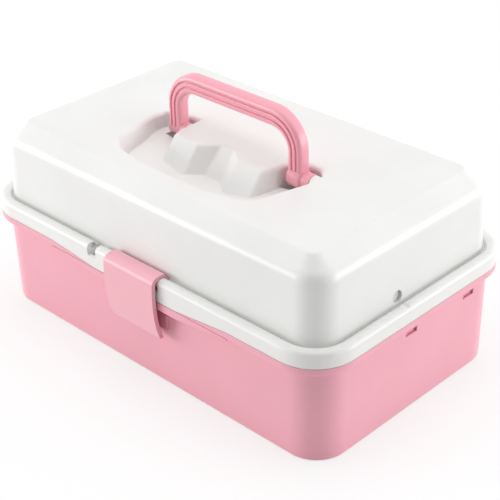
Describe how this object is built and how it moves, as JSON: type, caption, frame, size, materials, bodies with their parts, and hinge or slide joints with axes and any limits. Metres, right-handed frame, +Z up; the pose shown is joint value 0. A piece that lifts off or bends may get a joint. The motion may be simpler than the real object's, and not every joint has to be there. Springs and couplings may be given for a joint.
{
  "type": "makeup storage case with handle",
  "caption": "Rectangular plastic storage case: pink tub, white domed lid with fold-down handle in a recess, front snap latch, and rising inner trays on linked arms",
  "frame": {"origin": "centre of the flat underside of the tub", "axes": "+X along the length to the right end, +Y from the latch side to the hinge side, +Z up"},
  "size_m": [0.33, 0.2136, 0.1827],
  "materials": {
    "pink_shell": "smooth moulded, semi-gloss, light pink",
    "white_shell": "smooth moulded, semi-gloss, white",
    "pink_handle": "smooth moulded, semi-gloss, a stronger pink",
    "white_tray": "moulded, matt white",
    "pink_arm": "moulded, matt pink",
    "pink_pin": "moulded, matt pink",
    "white_pin": "moulded, matt white",
    "steel_pin": "drawn wire"
  },
  "bodies": {
    "tub": {"tub": "pink_shell", "hinge_pin_left": "steel_pin", "hinge_pin_right": "steel_pin", "tub_pivot_front_left": "pink_pin", "tub_pivot_front_right": "pink_pin", "tub_pivot_rear_left": "pink_pin", "tub_pivot_rear_right": "pink_pin"},
    "lid": {"lid": "white_shell", "latch_rod": "white_pin", "handle_pin_left": "pink_handle", "handle_pin_right": "pink_handle", "lid_eye_pin_left": "white_pin", "lid_eye_pin_right": "white_pin"},
    "handle": {"handle": "pink_handle"},
    "latch": {"latch": "pink_shell"},
    "lower_arm_front": {"lower_arm_front_left": "pink_arm", "lower_arm_front_right": "pink_arm"},
    "lower_arm_rear": {"lower_arm_rear_left": "pink_arm", "lower_arm_rear_right": "pink_arm"},
    "lower_tray": {"lower_tray": "white_tray", "lower_tray_pin_front_left": "white_pin", "lower_tray_pin_front_right": "white_pin", "lower_tray_pin_rear_left": "white_pin", "lower_tray_pin_rear_right": "white_pin", "ear_pin_front_left": "white_pin", "ear_pin_front_right": "white_pin", "ear_pin_rear_left": "white_pin", "ear_pin_rear_right": "white_pin", "tray_eye_pin_left": "white_pin", "tray_eye_pin_right": "white_pin"},
    "upper_arm_front": {"upper_arm_front_left": "pink_arm", "upper_arm_front_right": "pink_arm"},
    "upper_arm_rear": {"upper_arm_rear_left": "pink_arm", "upper_arm_rear_right": "pink_arm"},
    "upper_tray": {"upper_tray": "white_tray", "upper_tray_pin_front_left": "white_pin", "upper_tray_pin_front_right": "white_pin", "upper_tray_pin_rear_left": "white_pin", "upper_tray_pin_rear_right": "white_pin"},
    "lid_link": {"lid_link_left": "pink_arm", "lid_link_right": "pink_arm"}
  },
  "joints": [
    {"name": "lid_hinge", "type": "hinge", "parent": "tub", "child": "lid", "pos_m": [0, 0.1047, 0.0763], "axis": [-1, 0, 0], "range_deg": [0, 104]},
    {"name": "handle_fold", "type": "hinge", "parent": "lid", "child": "handle", "pos_m": [0, 0, 0.137], "axis": [1, 0, 0], "range_deg": [0, 90]},
    {"name": "latch_swing", "type": "hinge", "parent": "lid", "child": "latch", "pos_m": [0, -0.0954, 0.0852], "axis": [-1, 0, 0], "range_deg": [0, 80]},
    {"name": "lower_arm_front_swing", "type": "hinge", "parent": "tub", "child": "lower_arm_front", "pos_m": [0, -0.0042, 0.062], "axis": [-1, 0, 0], "range_deg": [0, 78]},
    {"name": "lower_arm_rear_swing", "type": "hinge", "parent": "tub", "child": "lower_arm_rear", "pos_m": [0, 0.0567, 0.062], "axis": [-1, 0, 0], "range_deg": [0, 78]},
    {"name": "lower_tray_level", "type": "hinge", "parent": "lower_arm_rear", "child": "lower_tray", "pos_m": [0, 0.00688, 0.05773], "axis": [1, 0, 0], "range_deg": [0, 78]},
    {"name": "upper_arm_front_swing", "type": "hinge", "parent": "lower_tray", "child": "upper_arm_front", "pos_m": [0, -0.001, 0.091], "axis": [-1, 0, 0], "range_deg": [0, 78]},
    {"name": "upper_arm_rear_swing", "type": "hinge", "parent": "lower_tray", "child": "upper_arm_rear", "pos_m": [0, 0.062, 0.091], "axis": [-1, 0, 0], "range_deg": [0, 78]},
    {"name": "upper_tray_level", "type": "hinge", "parent": "upper_arm_rear", "child": "upper_tray", "pos_m": [0, 0.01218, 0.08673], "axis": [1, 0, 0], "range_deg": [0, 78]},
    {"name": "lid_link_turn", "type": "hinge", "parent": "lid", "child": "lid_link", "pos_m": [0, -0.0148, 0.0916], "axis": [-1, 0, 0], "range_deg": [0, 9.36]}
  ],
  "couplings": [
    {"joint": "lower_arm_front_swing", "follows": "lid_hinge", "ratio": 0.75},
    {"joint": "lower_arm_rear_swing", "follows": "lid_hinge", "ratio": 0.75},
    {"joint": "lower_tray_level", "follows": "lid_hinge", "ratio": 0.75},
    {"joint": "upper_arm_front_swing", "follows": "lid_hinge", "ratio": 0.75},
    {"joint": "upper_arm_rear_swing", "follows": "lid_hinge", "ratio": 0.75},
    {"joint": "upper_tray_level", "follows": "lid_hinge", "ratio": 0.75},
    {"joint": "lid_link_turn", "follows": "lid_hinge", "ratio": 0.09}
  ]
}
